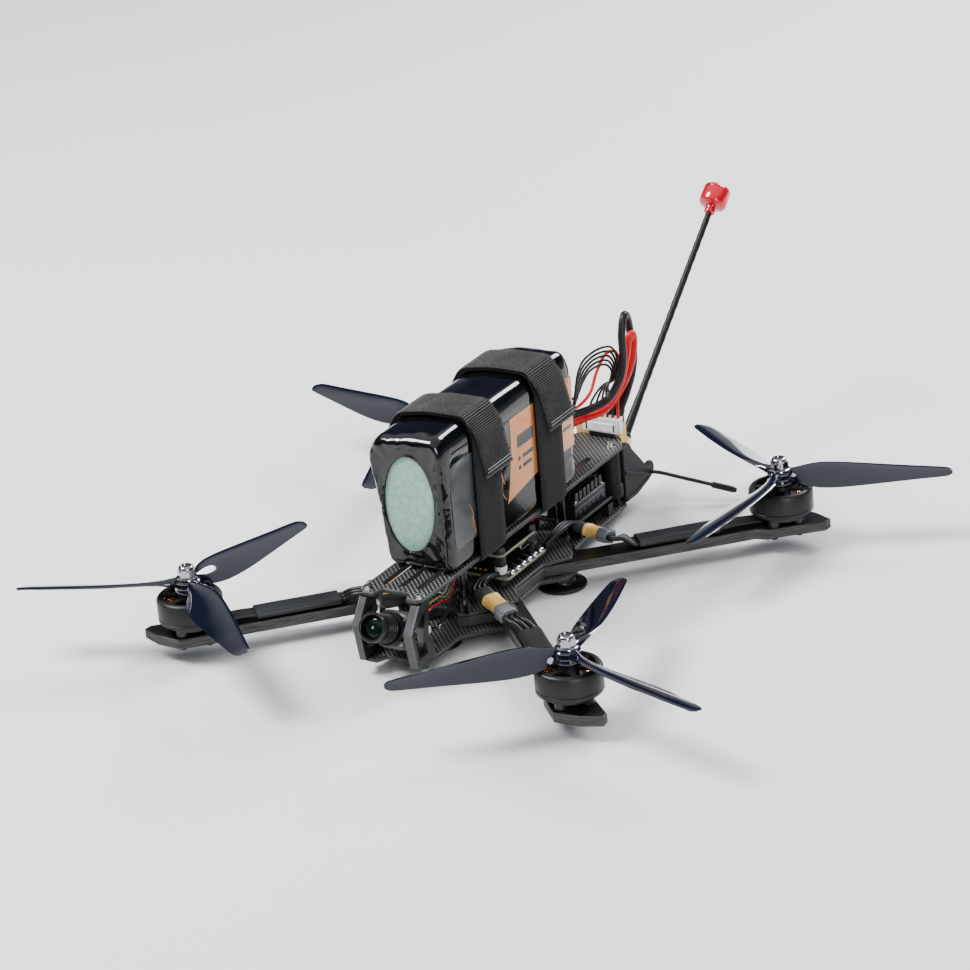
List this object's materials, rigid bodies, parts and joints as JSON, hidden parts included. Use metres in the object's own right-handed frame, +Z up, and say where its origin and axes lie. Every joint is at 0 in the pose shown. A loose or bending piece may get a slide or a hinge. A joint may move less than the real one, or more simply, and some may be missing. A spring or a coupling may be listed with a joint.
{
  "type": "fpv racing drone",
  "caption": "Long-range racing quadcopter: carbon X frame with strapped-on battery, turning three-blade propellers, tilting nose camera and raised video antenna.",
  "frame": {"origin": "midway between the four motor axes, on the surface the drone stands on", "axes": "nose and camera towards -Y, tail antenna towards +Y, +X towards the drone's own left, +Z up"},
  "size_m": [0.3904, 0.4431, 0.1376],
  "materials": {
    "carbon": "satin woven carbon laminate",
    "black_alloy": "black anodised aluminium, satin",
    "steel": "bright zinc-plated steel",
    "foot_rubber": "matt black rubber",
    "winding": "enamelled copper over laminated steel",
    "camera_case": "dark satin plastic",
    "circuit": "black solder mask",
    "nylon": "pale nylon",
    "printed": "flexible black printed plastic",
    "heat_sink": "black anodised fins",
    "gold": "gold-plated brass",
    "antenna": "glossy red cap on a black stem",
    "pack_wrap": "glossy black shrink wrap",
    "webbing": "woven black webbing",
    "plug": "tan nylon",
    "wire": "silicone insulation",
    "sleeve": "black heat-shrink sleeve",
    "propeller": "glossy smoked polycarbonate",
    "nut": "polished"
  },
  "bodies": {
    "frame": {"top_plate": "carbon", "mid_plate": "carbon", "bottom_plate": "carbon", "camera_plate_left": "black_alloy", "camera_plate_right": "black_alloy", "standoffs": "black_alloy", "frame_screws": "steel", "landing_feet": "foot_rubber", "stators": "winding", "motor_bearings": "steel", "motor_screws": "steel", "camera_brackets": "steel", "esc_board": "circuit", "flight_controller": "circuit", "stack_spacers": "nylon", "stack_screws": "steel", "vtx_tray": "printed", "video_transmitter": "heat_sink", "receiver": "circuit", "camera_cable": "wire", "antenna_mount": "printed", "antenna_connector": "gold", "video_antenna": "antenna", "receiver_antenna": "sleeve", "battery_pack": "pack_wrap", "strap_front": "webbing", "strap_rear": "webbing", "battery_plug": "plug", "power_leads": "wire", "balance_lead": "wire", "motor_connectors": "plug", "motor_wires": "sleeve", "arm_front_right": "carbon", "motor_base_front_right": "black_alloy", "arm_front_left": "carbon", "motor_base_front_left": "black_alloy", "arm_rear_left": "carbon", "motor_base_rear_left": "black_alloy", "arm_rear_right": "carbon", "motor_base_rear_right": "black_alloy"},
    "rotor_front_right": {"bell_front_right": "black_alloy", "shaft_front_right": "steel", "propeller_front_right": "propeller", "prop_nut_front_right": "nut"},
    "rotor_front_left": {"bell_front_left": "black_alloy", "shaft_front_left": "steel", "propeller_front_left": "propeller", "prop_nut_front_left": "nut"},
    "rotor_rear_left": {"bell_rear_left": "black_alloy", "shaft_rear_left": "steel", "propeller_rear_left": "propeller", "prop_nut_rear_left": "nut"},
    "rotor_rear_right": {"bell_rear_right": "black_alloy", "shaft_rear_right": "steel", "propeller_rear_right": "propeller", "prop_nut_rear_right": "nut"},
    "camera": {"camera_body": "camera_case", "camera_lens": "camera_case", "camera_screws": "steel"}
  },
  "joints": [
    {"name": "spin_front_right", "type": "hinge", "parent": "frame", "child": "rotor_front_right", "pos_m": [-0.1096, -0.1118, 0.034], "axis": [0, 0, 1], "continuous": true},
    {"name": "spin_front_left", "type": "hinge", "parent": "frame", "child": "rotor_front_left", "pos_m": [0.1096, -0.1118, 0.034], "axis": [0, 0, -1], "continuous": true},
    {"name": "spin_rear_left", "type": "hinge", "parent": "frame", "child": "rotor_rear_left", "pos_m": [0.1096, 0.1118, 0.034], "axis": [0, 0, 1], "continuous": true},
    {"name": "spin_rear_right", "type": "hinge", "parent": "frame", "child": "rotor_rear_right", "pos_m": [-0.1096, 0.1118, 0.034], "axis": [0, 0, -1], "continuous": true},
    {"name": "camera_tilt", "type": "hinge", "parent": "frame", "child": "camera", "pos_m": [0, -0.0882, 0.0207], "axis": [-1, 0, 0], "range_deg": [-27, 23]}
  ]
}
